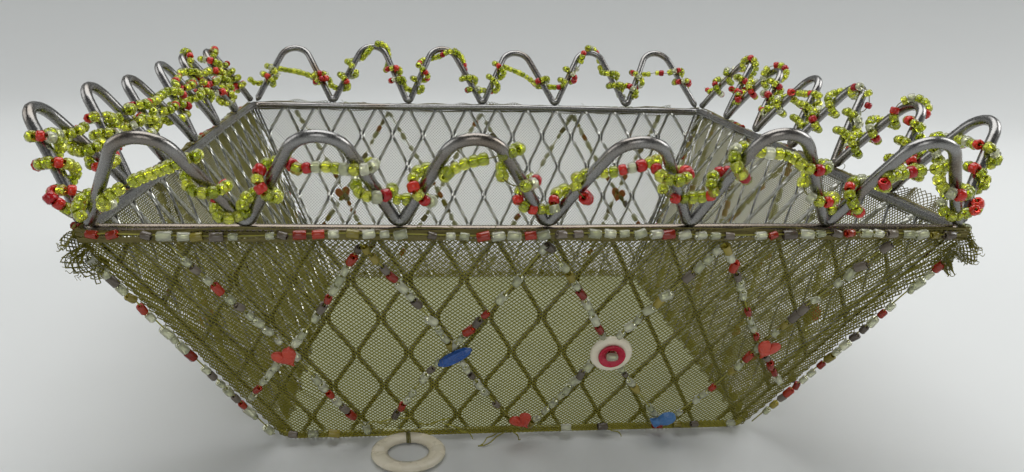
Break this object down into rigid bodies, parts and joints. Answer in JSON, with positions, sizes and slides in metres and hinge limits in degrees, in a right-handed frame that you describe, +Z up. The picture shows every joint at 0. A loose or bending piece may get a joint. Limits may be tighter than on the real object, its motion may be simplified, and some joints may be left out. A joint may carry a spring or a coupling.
{
  "type": "wire bread basket",
  "caption": "Square flared wire basket with expanded metal walls, a flat base, a crown of wire arches, a net over the outside and sewn bead ornaments.",
  "frame": {"origin": "on the table under the middle of the base", "axes": "+Z up out of the basket, -Y out of the front wall, which carries the button and the hanging ring"},
  "size_m": [0.28, 0.28, 0.1156],
  "materials": {
    "steel_wire": "bare drawn wire, satin, dulled by age",
    "expanded_metal": "cut and stretched sheet steel, grey with bright edges",
    "base_sheet": "pale grey sheet, slightly glossy",
    "tulle_net": "olive green tulle, fine six-sided holes",
    "lime_glass": "silver-lined lime seed beads",
    "clear_glass": "silver-lined clear bugle beads",
    "red_plastic": "glossy red",
    "blue_plastic": "glossy blue",
    "cream_plastic": "satin cream"
  },
  "bodies": {
    "basket": {"rim_wire": "steel_wire", "base_plate": "base_sheet", "net_hem": "tulle_net", "mesh_front": "expanded_metal", "net_front": "tulle_net", "crown_front": "steel_wire", "garland_front": "lime_glass", "rim_beads_front": "clear_glass", "wall_beads_front": "clear_glass", "mesh_right": "expanded_metal", "net_right": "tulle_net", "crown_right": "steel_wire", "garland_right": "lime_glass", "rim_beads_right": "clear_glass", "wall_beads_right": "clear_glass", "mesh_back": "expanded_metal", "net_back": "tulle_net", "crown_back": "steel_wire", "garland_back": "lime_glass", "rim_beads_back": "clear_glass", "wall_beads_back": "clear_glass", "mesh_left": "expanded_metal", "net_left": "tulle_net", "crown_left": "steel_wire", "garland_left": "lime_glass", "rim_beads_left": "clear_glass", "wall_beads_left": "clear_glass", "tuft_front_right": "tulle_net", "corner_beads_front_right": "clear_glass", "tuft_back_right": "tulle_net", "corner_beads_back_right": "clear_glass", "tuft_back_left": "tulle_net", "corner_beads_back_left": "clear_glass", "tuft_front_left": "tulle_net", "corner_beads_front_left": "clear_glass", "heart_front_left": "red_plastic", "heart_front_right": "red_plastic", "heart_front_low": "red_plastic", "heart_right_near": "red_plastic", "heart_right_far": "red_plastic", "heart_back_right": "red_plastic", "heart_back_left": "red_plastic", "heart_left_far": "red_plastic", "heart_left_near": "red_plastic", "oval_bead_front": "blue_plastic", "oval_bead_right": "blue_plastic", "oval_bead_back": "blue_plastic", "oval_bead_left": "blue_plastic", "bow_bead_front": "blue_plastic", "button_front": "cream_plastic", "button_cup_front": "red_plastic", "button_bead_front": "clear_glass"},
    "ring": {"hanging_ring": "cream_plastic"}
  },
  "joints": [
    {"name": "ring_swing", "type": "hinge", "parent": "basket", "child": "ring", "pos_m": [-0.038, -0.08163, 0.0005], "axis": [-1, 0, 0], "range_deg": [-90, 25]}
  ]
}
